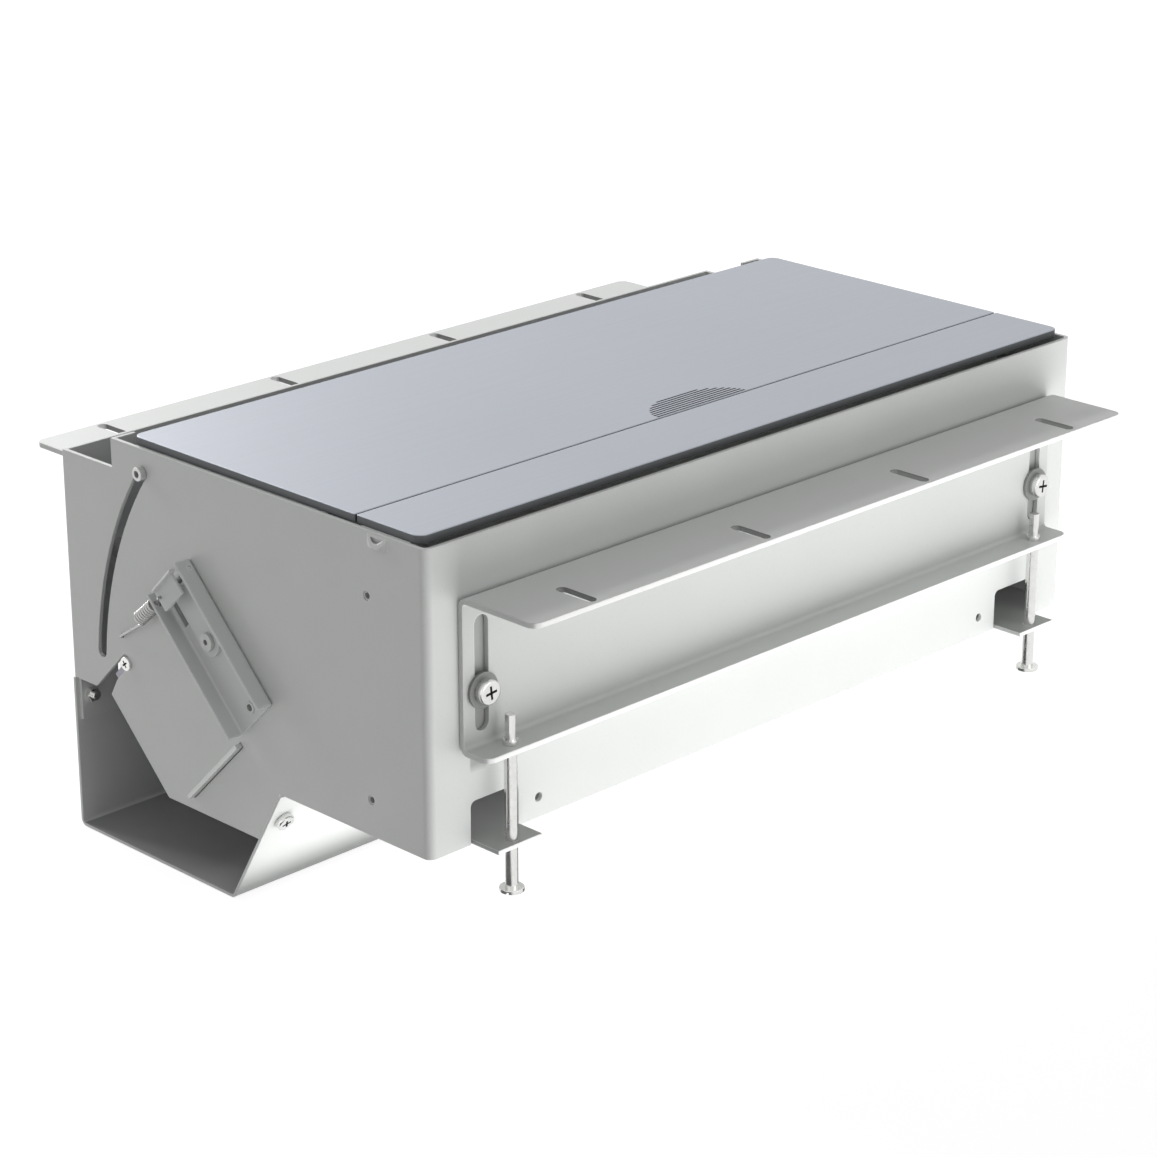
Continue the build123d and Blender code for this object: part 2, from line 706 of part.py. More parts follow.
def make_latch_spring():
    """Tension spring, drawn as its outer form, with a hook at each end."""
    plane, reach = spring_plane()
    start = spring_start
    inner = spring_d / 2 - 1.4 * spring_wire
    height = spring_coils * spring_pitch
    outline = [(0, 0), (inner, 0)]
    for i in range(spring_coils):
        outline.append((spring_d / 2, spring_pitch * (i + 0.5)))
        outline.append((inner, spring_pitch * (i + 1)))
    outline.append((0, height))
    coil = Pos(0, 0, start) * revolve(Plane.XZ * polygon(outline), Axis.Z)
    wire = spring_wire / 2
    top_wire = Cylinder(wire, start + 0.5, align=(Align.CENTER, Align.CENTER, Align.MIN))
    low_wire = Pos(0, 0, start + height - 0.5) * Cylinder(
        wire, reach - start - height + 0.5, align=(Align.CENTER, Align.CENTER, Align.MIN))
    spring = plane.location * (coil + top_wire + low_wire)
    stub = channel_sheet + seat_gap + 0.8 + 1.0
    spring += rod(slope_view(hook_top - stub), *latch_hole, wire, stub)
    spring += rod(slope_view(hook_foot), *hook_hole, wire, 3.0)
    return spring


def module_places():
    """Centres of the modules along the box."""
    first = -module_pitch * (module_count - 1) / 2
    return [first + module_pitch * i for i in range(module_count)]


def make_module_carrier():
    """Sloping carrier for the socket modules, folded on four sides, with end tabs."""
    half = carrier_sheet / 2
    line = FilletPolyline(
        (carrier_front + half, carrier_foot),
        (carrier_front + half, carrier_top - half),
        (carrier_back - half, carrier_top - half),
        (carrier_back - half, carrier_top - 48.0),
        radius=bend_inside + half,
    )
    width = length - 2 * carrier_inset
    carrier = extrude(slope_view(carrier_inset) * trace(line, line_width=carrier_sheet), width)
    cheek = polygon([
        (carrier_front + 0.5, carrier_top - 1.0),
        (carrier_back - 0.5, carrier_top - 1.0),
        (carrier_back - 0.5, cheek_step[1]),
        (carrier_screw[0] + cheek_past_screw, cheek_step[0]),
        (carrier_screw[0] + cheek_past_screw, carrier_foot),
        (carrier_front + 0.5, carrier_foot),
    ])
    cheek = extrude(slope_view(carrier_inset) * cheek, carrier_sheet)
    cheek += rod(slope_view(sheet), *carrier_screw, carrier_boss_r, carrier_inset - sheet)
    low, high, foot, top = carrier_lug
    lug = Pos((low + high) / 2, (foot + top) / 2) * Rectangle(high - low, top - foot)
    cheek += extrude(slope_view(sheet + seat_gap) * lug, channel_sheet)
    cheek -= rod(slope_view(0), *carrier_screw, carrier_screw_sizes[2] / 2 + running_gap, 12.0)
    tab = Pos(tab_x, (tab_top + tab_foot) / 2) * Rectangle(carrier_sheet, tab_top - tab_foot)
    cheek += extrude(slope_view(-tab_proud) * tab, tab_proud + carrier_inset + carrier_sheet)
    carrier += cheek + mirrored(cheek)
    middle = slope_view(end)
    for x in module_places():
        hole = Pos((carrier_front + carrier_back) / 2, 0) * Rectangle(module_size, 4.0)
        cutter = extrude(middle * Pos(0, carrier_top) * hole, module_size / 2, both=True)
        carrier -= Pos(x, 0, 0) * cutter
    return carrier


def make_module_blank(x):
    """Blank cover snapped into one opening of the carrier."""
    middle = slope_view(end + x)
    outer = module_size + 2 * blank_overlap
    across = Pos((carrier_front + carrier_back) / 2, carrier_top + blank_proud / 2) * Rectangle(outer, blank_proud)
    plate = extrude(middle * across, outer / 2, both=True)
    plate = fillet(plate.edges().filter_by(lambda e: abs(e.tangent_at(0.5).dot(middle.y_dir)) > 0.9), 1.5)
    skirt_depth = 9.0
    skirt = Pos((carrier_front + carrier_back) / 2, carrier_top - skirt_depth / 2) * Rectangle(
        module_size - 0.4, skirt_depth)
    hollow = Pos((carrier_front + carrier_back) / 2, carrier_top - skirt_depth / 2 - 1.0) * Rectangle(
        module_size - 3.4, skirt_depth)
    plate += extrude(middle * skirt, (module_size - 0.4) / 2, both=True)
    plate -= extrude(middle * hollow, (module_size - 3.4) / 2, both=True)
    return plate


def pan_screw(head_d, head_height, shank_d, shank_length, cross):
    """Pan head screw along +Z, head below Z = 0, with a cross recess."""
    head = Cylinder(head_d / 2, head_height, align=(Align.CENTER, Align.CENTER, Align.MAX))
    head = chamfer(head.edges().group_by(Axis.Z)[0], head_height * 0.3, head_height * 0.5)
    shank = Cylinder(shank_d / 2, shank_length, align=(Align.CENTER, Align.CENTER, Align.MIN))
    arm = Box(cross, 0.13 * head_d, head_height * 0.8)
    recess = Pos(0, 0, -head_height) * (arm + Rot(0, 0, 90) * arm)
    return head + shank - recess


def make_carrier_screws():
    """Screws that clamp the carrier's ends in the slits."""
    screw = pan_screw(*carrier_screw_sizes)
    return pair(slope_view(0).location * Pos(*carrier_screw) * screw)


def make_tray_front_screws():
    """Screws through the tray's sloping wall into the end plates' flanges."""
    screw = pan_screw(*tray_front_screw_sizes)
    return pair(tray_wall_plane(tray_screw_inset).location * screw)


def make_tray_rear_screws():
    """Screws through the tray's rear wall, with their nuts inside the rear wall."""
    screw = pan_screw(*tray_rear_screw_sizes)
    at = Pos(-end + rear_screw_inset, back + tray_sheet, rear_screw_height)
    nut = Pos(0, 0, tray_sheet + sheet) * extrude(
        RegularPolygon(3.7, 6) - Circle(2.0), 3.0)
    return pair(at * Rot(90, 0, 0) * (screw + nut))


def make_rail():
    """Front rail: C section with rounded flanges, slotted for bolts and lock screws."""
    half = rail_sheet / 2
    web_y = front - rail_wall_gap - half
    line = FilletPolyline(
        (front - rail_flange, rail_top - half),
        (web_y, rail_top - half),
        (web_y, rail_foot + half),
        (front - rail_lower_flange, rail_foot + half),
        radius=bend_inside + half,
    )
    section = Plane(origin=(-rail_length / 2, 0, 0), x_dir=(0, 1, 0), z_dir=(1, 0, 0))
    rail = extrude(section * trace(line, line_width=rail_sheet), rail_length)
    corners = rail.edges().filter_by(Axis.Z).group_by(Axis.Y)[0]
    rail = fillet(corners, rail_corner)
    lower = [edge for edge in rail.edges().filter_by(Axis.Z)
             if abs(edge.center().Y - (front - rail_lower_flange)) < 0.01]
    rail = fillet(lower, rail_corner)

    first = -bolt_slot_pitch * (bolt_slot_count - 1) / 2
    for i in range(bolt_slot_count):
        slot = Rot(0, 0, 90) * SlotOverall(bolt_slot_length, bolt_slot_width)
        slot = extrude(slot, 4 * rail_sheet, both=True)
        rail -= Pos(first + bolt_slot_pitch * i, front - bolt_slot_from_wall, rail_top) * slot
    for side in (-1, 1):
        slot = Rot(0, 0, 90) * SlotOverall(web_slot_length, web_slot_width)
        slot = extrude(Plane.XZ * slot, 4 * rail_sheet, both=True)
        rail -= Pos(side * lock_x, web_y, rail_foot + web_slot_foot + web_slot_length / 2) * slot
        rail -= Pos(side * jack_x, front - jack_from_wall, rail_foot) * Cylinder(
            jack_journal_d / 2 + running_gap, 4 * rail_sheet)
    return rail


def make_jack_screw():
    """Left front jack screw: slotted disc head, threaded part, journal, collar and tip."""
    head_top = tray_drop - jack_head_drop
    base = (Align.CENTER, Align.CENTER, Align.MIN)
    low = head_top - jack_head_height
    shoulder = rail_foot - seat_gap
    collar_foot = rail_foot + rail_sheet + seat_gap
    collar_top = collar_foot + jack_collar_height
    head = Cylinder(jack_head_d / 2, jack_head_height, align=base)
    head = chamfer(head.edges().filter_by(GeomType.CIRCLE), 0.3)
    slot = Rot(0, 0, jack_slot_turn) * Box(jack_head_d + 2.0, jack_head_slot, jack_head_height, align=base)
    screw = Pos(0, 0, low) * (head - Pos(0, 0, -jack_head_height * 0.4) * slot)
    screw += Pos(0, 0, head_top) * Cylinder(jack_d / 2, shoulder - head_top, align=base)
    screw += Pos(0, 0, shoulder) * Cylinder(jack_journal_d / 2, collar_foot - shoulder, align=base)
    screw += Pos(0, 0, collar_foot) * Cylinder(jack_collar_d / 2, jack_collar_height, align=base)
    tip = Cylinder(jack_journal_d / 2, jack_tip_height, align=base)
    tip &= Box(jack_tip_flats, jack_journal_d, jack_tip_height, align=base)
    screw += Pos(0, 0, collar_top) * tip
    return Pos(-jack_x, front - jack_from_wall, 0) * screw


def make_lock_screws():
    """Screws that clamp the front rail to the front wall."""
    head_seat = rail_wall_gap + rail_sheet + seat_gap + lock_washer_thickness
    screw = pan_screw(lock_head_d, lock_head_height, lock_screw_d, head_seat + 2 * sheet + 3.0, 5.6)
    return pair(Pos(-lock_x, front - head_seat, lock_z) * Rot(-90, 0, 0) * screw)


def make_lock_washers():
    """Large washers between the lock screws' heads and the rail."""
    washer = Circle(lock_washer_d / 2) - Circle(lock_screw_d / 2)
    washer = extrude(washer, lock_washer_thickness)
    seat = front - rail_wall_gap - rail_sheet - seat_gap
    return pair(Pos(-lock_x, seat, lock_z) * Rot(90, 0, 0) * washer)


def make_lock_nuts():
    """Press nuts on the inside of the front wall."""
    nut = Circle(lock_nut_d / 2) - Circle(lock_screw_d / 2)
    nut = extrude(nut, 5.0)
    return pair(Pos(-lock_x, front + sheet, lock_z) * Rot(-90, 0, 0) * nut)


def at_rear(part):
    """The same piece turned half way round, for the rear wall."""
    return Rot(0, 0, 180) * part


def build_nodes():
    """Every piece by its node name."""
    nodes = {
        "housing": make_housing(),
        "rear_wall": make_rear_wall(),
        "base_plate": make_base_plate(),
        "cable_tray": make_cable_tray(),
        "front_strip": make_front_strip(),
        "strip_support": make_strip_support(),
        "strip_rivets": make_strip_rivets(),
        "pivot_pins": make_pivot_pins(),
        "channel_rivets": make_channel_rivets(),
        "lever_pivots": make_lever_pivots(),
        "module_carrier": make_module_carrier(),
        "carrier_screws": make_carrier_screws(),
        "tray_front_screws": make_tray_front_screws(),
        "tray_rear_screws": make_tray_rear_screws(),
        "lid_panel": make_lid_panel(),
        "arm_screws": make_arm_screws(),
    }
    for i, x in enumerate(module_places()):
        nodes[f"module_blank_{i + 1}"] = make_module_blank(x)
    ends = {
        "latch_channel": make_latch_channel(),
        "latch_lever": make_latch_lever(),
        "latch_spring": make_latch_spring(),
        "swing_arm": make_swing_arm(),
        "guide_pin": make_guide_pin(),
    }
    for name, part in ends.items():
        nodes[f"{name}_left"] = part
        nodes[f"{name}_right"] = mirrored(part)
    walls = {
        "rail": make_rail(),
        "lock_screws": make_lock_screws(),
        "lock_washers": make_lock_washers(),
        "lock_nuts": make_lock_nuts(),
    }
    for name, part in walls.items():
        nodes[f"front_{name}"] = part
        nodes[f"rear_{name}"] = at_rear(part)
    jack = make_jack_screw()
    nodes["front_jack_screw_left"] = jack
    nodes["front_jack_screw_right"] = mirrored(jack)
    nodes["rear_jack_screw_left"] = at_rear(mirrored(jack))
    nodes["rear_jack_screw_right"] = at_rear(jack)
    return nodes


os.makedirs("parts", exist_ok=True)
for node, part in build_nodes().items():
    export_step(part, f"parts/{node}.step")
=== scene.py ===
import math

import bmesh
import bpy
from mathutils import Matrix, Vector


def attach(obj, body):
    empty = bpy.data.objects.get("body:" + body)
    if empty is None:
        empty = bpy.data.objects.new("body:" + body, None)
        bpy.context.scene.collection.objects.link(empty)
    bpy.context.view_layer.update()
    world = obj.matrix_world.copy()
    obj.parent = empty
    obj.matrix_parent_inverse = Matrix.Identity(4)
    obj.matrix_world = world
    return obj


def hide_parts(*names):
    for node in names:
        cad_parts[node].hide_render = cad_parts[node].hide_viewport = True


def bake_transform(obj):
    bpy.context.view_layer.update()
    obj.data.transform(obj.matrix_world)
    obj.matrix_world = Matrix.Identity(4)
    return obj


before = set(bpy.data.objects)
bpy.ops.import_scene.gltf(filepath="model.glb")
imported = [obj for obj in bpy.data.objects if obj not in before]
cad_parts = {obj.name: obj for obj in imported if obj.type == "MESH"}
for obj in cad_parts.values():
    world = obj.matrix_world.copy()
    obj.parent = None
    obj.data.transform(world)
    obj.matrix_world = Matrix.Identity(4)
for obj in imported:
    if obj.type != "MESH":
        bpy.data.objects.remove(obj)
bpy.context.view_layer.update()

# Looks of the conference table box, in metres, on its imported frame.

mm = 0.001

# Sizes and places of the box that the pieces and masks below are fitted to
half_length = 225.6 * mm
front = -128.25 * mm
back = 128.25 * mm
lock_x = 195.8 * mm
lock_z = 140.1 * mm
lock_seat = 4.5 * mm
slope_foot = Vector((-half_length, front + 104.65 * mm, 110.6 * mm))
up_slope = Vector((0.0, 1.0, 1.0)).normalized()
off_slope = Vector((0.0, -1.0, 1.0)).normalized()


def on_left_plate(up, off, out=0.0):
    """Point of the left end plate, by millimetres up the slope, off the slope and out of it."""
    return slope_foot + up * mm * up_slope + off * mm * off_slope - Vector((out * mm, 0.0, 0.0))


def paint(red, green, blue):
    """Linear colour of a finish, from its screen values."""
    def linear(value):
        share = value / 255
        return share / 12.92 if share <= 0.04045 else ((share + 0.055) / 1.055) ** 2.4
    return (linear(red), linear(green), linear(blue), 1.0)


# Shader nodes that the finishes share

def start_group(name, inputs, outputs):
    """Empty shader group with its sockets, and its way in and out."""
    group = bpy.data.node_groups.new(name, "ShaderNodeTree")
    for label, kind in inputs:
        group.interface.new_socket(name=label, in_out="INPUT", socket_type=kind)
    for label, kind in outputs:
        group.interface.new_socket(name=label, in_out="OUTPUT", socket_type=kind)
    return group, group.nodes.new("NodeGroupInput"), group.nodes.new("NodeGroupOutput")


def add_noise(tree, place, scale, detail, roughness=0.5):
    """Values of a noise pattern."""
    noise = tree.nodes.new("ShaderNodeTexNoise")
    noise.inputs["Scale"].default_value = scale
    noise.inputs["Detail"].default_value = detail
    noise.inputs["Roughness"].default_value = roughness
    tree.links.new(place, noise.inputs["Vector"])
    return noise.outputs["Fac"]


def add_range(tree, value, low, high, out_low=0.0, out_high=1.0):
    """Value carried over from the range between low and high, and held at the ends."""
    change = tree.nodes.new("ShaderNodeMapRange")
    ends = {"From Min": low, "From Max": high, "To Min": out_low, "To Max": out_high}
    for label, end in ends.items():
        change.inputs[label].default_value = end
    tree.links.new(value, change.inputs["Value"])
    return change.outputs["Result"]


def add_mix(tree, factor, first, second, blend="MIX"):
    """Mix of two colours, each from a socket or written out."""
    factor_in, first_in, second_in, colour_out = 0, 6, 7, 2
    mix = tree.nodes.new("ShaderNodeMix")
    mix.data_type = "RGBA"
    mix.blend_type = blend
    for socket, value in ((factor_in, factor), (first_in, first), (second_in, second)):
        if isinstance(value, tuple):
            mix.inputs[socket].default_value = value
        else:
            tree.links.new(value, mix.inputs[socket])
    return mix.outputs[colour_out]


def add_math(tree, operation, first, second):
    """Result of a sum on two values, each from a socket or written out."""
    math_node = tree.nodes.new("ShaderNodeMath")
    math_node.operation = operation
    for socket, value in enumerate((first, second)):
        if isinstance(value, float):
            math_node.inputs[socket].default_value = value
        else:
            tree.links.new(value, math_node.inputs[socket])
    return math_node.outputs[0]


def make_soft_edge_group():
    """Slightly rounded edges in a lighter colour under a fine bump; the lighter colour is a painted
    highlight that also stands for worn coat.
    """
    group, way_in, way_out = start_group(
        "soft_edge",
        [("Height", "NodeSocketFloat"), ("Depth", "NodeSocketFloat"), ("Radius", "NodeSocketFloat"),
         ("Colour", "NodeSocketColor"), ("Highlight and wear", "NodeSocketColor")],
        [("Normal", "NodeSocketVector"), ("Colour", "NodeSocketColor")],
    )
    bevel = group.nodes.new("ShaderNodeBevel")
    bevel.samples = 4
    bump = group.nodes.new("ShaderNodeBump")
    bump.inputs["Strength"].default_value = 1.0
    group.links.new(way_in.outputs["Radius"], bevel.inputs["Radius"])
    group.links.new(bevel.outputs["Normal"], bump.inputs["Normal"])
    group.links.new(way_in.outputs["Height"], bump.inputs["Height"])
    group.links.new(way_in.outputs["Depth"], bump.inputs["Distance"])
    group.links.new(bump.outputs["Normal"], way_out.inputs["Normal"])

    # Painted highlight on the edges, also standing for worn coat, where the rounded normal turns
    # away from the face
    highlight_and_wear_starts, highlight_and_wear_full, highlight_and_wear_share = 0.996, 0.92, 0.85
    lie = group.nodes.new("ShaderNodeVectorMath")
    lie.operation = "DOT_PRODUCT"
    group.links.new(bevel.outputs["Normal"], lie.inputs[0])
    group.links.new(group.nodes.new("ShaderNodeNewGeometry").outputs["Normal"], lie.inputs[1])
    turned_away = add_range(group, lie.outputs["Value"], highlight_and_wear_starts, highlight_and_wear_full, out_high=highlight_and_wear_share)
    colour = add_mix(group, turned_away, way_in.outputs["Colour"], way_in.outputs["Highlight and wear"])
    group.links.new(colour, way_out.inputs["Colour"])
    return group


def start_skin(name):
    """Group of an effect, and its place, two colours, gloss and way out."""
    group, way_in, way_out = start_group(
        name,
        [("Place", "NodeSocketVector"), ("Colour", "NodeSocketColor"),
         ("Shade", "NodeSocketColor"), ("Gloss", "NodeSocketFloat")],
        [("Colour", "NodeSocketColor"), ("Roughness", "NodeSocketFloat"),
         ("Height", "NodeSocketFloat")],
    )
    sockets = way_in.outputs
    return group, sockets["Place"], sockets["Colour"], sockets["Shade"], sockets["Gloss"], way_out


def end_skin(group, way_out, colour, roughness, height):
    """Join what an effect works out to its way out."""
    for label, value in (("Colour", colour), ("Roughness", roughness), ("Height", height)):
        group.links.new(value, way_out.inputs[label])
    return group


def make_coat_group():
    """Baked powder coat: fine orange peel, faint clouding and a few darker specks."""
    group, place, base, shade, gloss, way_out = start_skin("powder_coat")
    clouds = add_noise(group, place, scale=14.0, detail=3.0)
    specks = add_noise(group, place, scale=1500.0, detail=1.0)
    wiped = add_noise(group, place, scale=60.0, detail=3.0)
    peel = add_noise(group, place, scale=900.0, detail=2.0, roughness=0.55)
    cloud = add_range(group, clouds, 0.35, 0.7, out_high=0.22)
    speck = add_range(group, specks, 0.66, 0.74, out_high=0.16)
    colour = add_mix(group, cloud, base, shade)
    colour = add_mix(group, speck, colour, shade, "MULTIPLY")
    rough = add_range(group, wiped, 0.3, 0.7, -0.05, 0.06)
    return end_skin(group, way_out, colour, add_math(group, "ADD", rough, gloss), peel)


def make_anodised_group():
    """Anodised aluminium: very fine blasted grain over faint lines drawn along the plate."""
    group, place, base, shade, gloss, way_out = start_skin("anodised")
    stretch = group.nodes.new("ShaderNodeVectorMath")
    stretch.operation = "MULTIPLY"
    stretch.inputs[1].default_value = (12.0, 1400.0, 1400.0)
    group.links.new(place, stretch.inputs[0])
    lines = add_noise(group, stretch.outputs[0], scale=1.0, detail=2.0, roughness=0.6)
    grains = add_noise(group, place, scale=2600.0, detail=1.0)
    clouds = add_noise(group, place, scale=7.0, detail=2.0)
    cloud = add_range(group, clouds, 0.3, 0.7, out_high=0.16)
    line = add_range(group, lines, 0.35, 0.75, out_high=0.05)
    grain = add_range(group, grains, 0.5, 0.8, out_high=0.18)
    colour = base
    for share in (cloud, line, grain):
        colour = add_mix(group, share, colour, shade)
    rough = add_range(group, lines, 0.3, 0.7, -0.05, 0.05)
    grain_height = add_math(group, "MULTIPLY", grains, 0.6)
    line_height = add_math(group, "MULTIPLY", lines, 0.4)
    height = add_math(group, "ADD", grain_height, line_height)
    return end_skin(group, way_out, colour, add_math(group, "ADD", rough, gloss), height)


def make_plated_group():
    """Bright zinc plate: patchy passivation tints and fine rubbed marks."""
    group, place, base, shade, gloss, way_out = start_skin("zinc_plate")
    patches = add_noise(group, place, scale=240.0, detail=3.0, roughness=0.6)
    marks = add_noise(group, place, scale=1900.0, detail=2.0, roughness=0.7)
    patch = add_range(group, patches, 0.4, 0.7, out_high=0.3)
    mark = add_range(group, marks, 0.55, 0.75, out_high=0.12)
    colour = add_mix(group, patch, base, shade)
    colour = add_mix(group, mark, colour, shade, "MULTIPLY")
    rough = add_range(group, patches, 0.3, 0.7, -0.06, 0.10)
    return end_skin(group, way_out, colour, add_math(group, "ADD", rough, gloss), marks)


soft_edge = make_soft_edge_group()
powder_coat = make_coat_group()
anodised = make_anodised_group()
zinc_plate = make_plated_group()


def make_finish(name, effect, colour, shade, gloss, grain, metallic=0.0, radius=0.4, highlight_and_wear=None):
    """Material from one of the shared effects, with a painted highlight on its edges that also
    stands for a little worn coat.

    The depth of its grain and the radius of its edges are in millimetres.
    """
    material = bpy.data.materials.new(name)
    material.use_nodes = True
    tree = material.node_tree
    surface = tree.nodes["Principled BSDF"]
    surface.inputs["Metallic"].default_value = metallic
    place = tree.nodes.new("ShaderNodeTexCoord").outputs["Object"]
    skin = tree.nodes.new("ShaderNodeGroup")
    skin.node_tree = effect
    skin.inputs["Colour"].default_value = colour
    skin.inputs["Shade"].default_value = shade
    skin.inputs["Gloss"].default_value = gloss
    edge = tree.nodes.new("ShaderNodeGroup")
    edge.node_tree = soft_edge
    edge.inputs["Depth"].default_value = grain * mm
    edge.inputs["Radius"].default_value = radius * mm
    edge.inputs["Highlight and wear"].default_value = highlight_and_wear or colour
    tree.links.new(place, skin.inputs["Place"])
    tree.links.new(skin.outputs["Height"], edge.inputs["Height"])
    tree.links.new(skin.outputs["Colour"], edge.inputs["Colour"])
    tree.links.new(edge.outputs["Colour"], surface.inputs["Base Color"])
    tree.links.new(skin.outputs["Roughness"], surface.inputs["Roughness"])
    tree.links.new(edge.outputs["Normal"], surface.inputs["Normal"])
    return material


# Finishes of this box
# The lighter edge colours below are painted highlights that also stand for worn coat
highlight_and_wear_white = paint(240, 241, 239)
housing_coat = make_finish(
    "housing_coat", powder_coat, paint(213, 215, 213), paint(203, 205, 203),
    gloss=0.42, grain=0.02, radius=0.6, highlight_and_wear=highlight_and_wear_white)
tray_coat = make_finish(
    "tray_coat", powder_coat, paint(214, 216, 214), paint(204, 206, 204),
    gloss=0.45, grain=0.02, radius=0.6, highlight_and_wear=highlight_and_wear_white)
# The rail coat is a darker copy of the housing coat, as painted shade on the webs under the top
# flanges
rail_coat_shaded = make_finish(
    "rail_coat_shaded", powder_coat, paint(199, 201, 199), paint(191, 193, 191),
    gloss=0.42, grain=0.02, radius=0.8, highlight_and_wear=highlight_and_wear_white)
bracket_coat = make_finish(
    "bracket_coat", powder_coat, paint(210, 212, 211), paint(200, 202, 201),
    gloss=0.42, grain=0.02, radius=0.9, highlight_and_wear=paint(250, 251, 250))
# The base plate's coat is darker as painted shade on its tab tops, which lie in the shadow of the
# housing
base_coat_shaded = make_finish(
    "base_coat_shaded", powder_coat, paint(150, 152, 150), paint(141, 143, 141),
    gloss=0.42, grain=0.02, radius=0.8, highlight_and_wear=paint(222, 223, 221))
lid_anodised = make_finish(
    "lid_anodised", anodised, paint(177, 181, 190), paint(160, 164, 174),
    gloss=0.42, grain=0.008, metallic=0.35)
carrier_anodised = make_finish(
    "carrier_anodised", anodised, paint(176, 174, 186), paint(156, 154, 168),
    gloss=0.4, grain=0.01, metallic=0.3)
arm_steel = make_finish(
    "arm_steel", zinc_plate, paint(112, 114, 115), paint(92, 94, 95),
    gloss=0.42, grain=0.004, metallic=0.4, radius=0.5, highlight_and_wear=paint(150, 152, 152))
pin_zinc = make_finish(
    "pin_zinc", zinc_plate, paint(200, 202, 200), paint(182, 184, 182),
    gloss=0.4, grain=0.003, metallic=0.15, radius=0.2)
rivet_zinc = make_finish(
    "rivet_zinc", zinc_plate, paint(200, 202, 200), paint(182, 184, 182),
    gloss=0.4, grain=0.003, metallic=0.15, radius=0.2)
screw_zinc = make_finish(
    "screw_zinc", zinc_plate, paint(230, 230, 228), paint(205, 205, 203),
    gloss=0.2, grain=0.002, metallic=1.0, radius=0.2)
washer_zinc = make_finish(
    "washer_zinc", zinc_plate, paint(136, 138, 136), paint(118, 120, 118),
    gloss=0.35, grain=0.003, metallic=0.25, highlight_and_wear=paint(190, 192, 190))
# Dark finish for the screws' cross recesses, as painted shade
recess_painted_shade = make_finish(
    "recess_painted_shade", zinc_plate, paint(70, 70, 70), paint(50, 50, 50),
    gloss=0.4, grain=0.002, metallic=0.3, radius=0.1)
spring_steel = make_finish(
    "spring_steel", zinc_plate, paint(178, 178, 176), paint(140, 141, 141),
    gloss=0.24, grain=0.002, metallic=0.9, radius=0.1)
blank_plastic = make_finish(
    "blank_plastic", powder_coat, paint(52, 53, 55), paint(38, 39, 41),
    gloss=0.5, grain=0.03)


# Masks, each 1 where a finish gets a second colour and 0 elsewhere

def add_fade(tree, vector, axis, none, full):
    """Mask from 0 to 1 as one part of a vector, without its sign, goes from none to full."""
    parts = tree.nodes.new("ShaderNodeSeparateXYZ")
    tree.links.new(vector, parts.inputs[0])
    size = tree.nodes.new("ShaderNodeMath")
    size.operation = "ABSOLUTE"
    tree.links.new(parts.outputs[axis], size.inputs[0])
    return add_range(tree, size.outputs[0], none, full)


def by_place(tree, place, axis, none, full):
    """Mask by the distance from the middle of the box along an axis, or from the ground for Z."""
    return add_fade(tree, place.outputs["Object"], axis, none, full)


def by_lie(tree, place, axis, none, full):
    """Mask by how squarely a face looks along an axis, either way."""
    return add_fade(tree, place.outputs["Normal"], axis, none, full)


def band(tree, place, axis, near, far, rim):
    """Mask of a band between two distances, with soft rims inside them."""
    return all_of(tree, by_place(tree, place, axis, near, near + rim),
                  by_place(tree, place, axis, far, far - rim))


def all_of(tree, first, *others):
    """Mask where all of some masks are 1."""
    for mask in others:
        first = add_math(tree, "MULTIPLY", first, mask)
    return first


def lid_sides(tree, place):
    """The sawn sides of a lid plate."""
    return by_lie(tree, place, "Z", none=0.5, full=0.3)


def carrier_tabs(tree, place):
    """The tabs that come out through the end plates."""
    return by_place(tree, place, "X", none=half_length - 1.4 * mm, full=half_length - 1.0 * mm)


def pin_mouths(tree, place):
    """The outer ends of the guide pins, made near white."""
    return by_place(tree, place, "X", none=half_length + 3.2 * mm, full=half_length + 3.4 * mm)


def shaded_bolt_slot_walls(tree, place):
    """The walls of the slots in the rails' top flanges, but not the flanges' own edges, made darker
    as painted shade.
    """
    return all_of(
        tree,
        by_lie(tree, place, "Z", none=0.5, full=0.3),
        by_place(tree, place, "X", none=206.0 * mm, full=205.0 * mm),
        band(tree, place, "Y", near=144.0 * mm, far=173.0 * mm, rim=1.0 * mm),
        by_place(tree, place, "Z", none=182.0 * mm, full=183.0 * mm))


def highlit_sheet_fronts(tree, place):
    """The cut edges of a bent sheet that look forwards or backwards, clear of the walls, where a
    painted highlight goes.
    """
    return all_of(
        tree,
        by_lie(tree, place, "Y", none=0.6, full=0.8),
        by_place(tree, place, "Y", none=141.0 * mm, full=143.0 * mm))


def level_faces(tree, place):
    """The faces that look straight up."""
    parts = tree.nodes.new("ShaderNodeSeparateXYZ")
    tree.links.new(place.outputs["Normal"], parts.inputs[0])
    return add_range(tree, parts.outputs["Z"], 0.85, 0.97)


def lit_flange_tops(tree, place):
    """The tops of the rails, made lighter as a painted highlight from above."""
    high = by_place(tree, place, "Z", none=184.0 * mm, full=185.0 * mm)
    return all_of(tree, level_faces(tree, place), high)


def shaded_tray_floor(tree, place):
    """The floor of the cable tray, made darker as painted shade."""
    low = by_place(tree, place, "Z", none=12.0 * mm, full=4.0 * mm)
    return all_of(tree, level_faces(tree, place), low)


def shaded_slot_backs(tree, place):
    """The walls behind the upright slots of the rails, made darker as painted shade."""
    return all_of(
        tree,
        band(tree, place, "X", near=lock_x - 5.4 * mm, far=lock_x + 5.4 * mm, rim=1.0 * mm),
        by_place(tree, place, "Y", none=127.0 * mm, full=128.0 * mm),
        band(tree, place, "Z", near=100.0 * mm, far=182.0 * mm, rim=4.0 * mm))


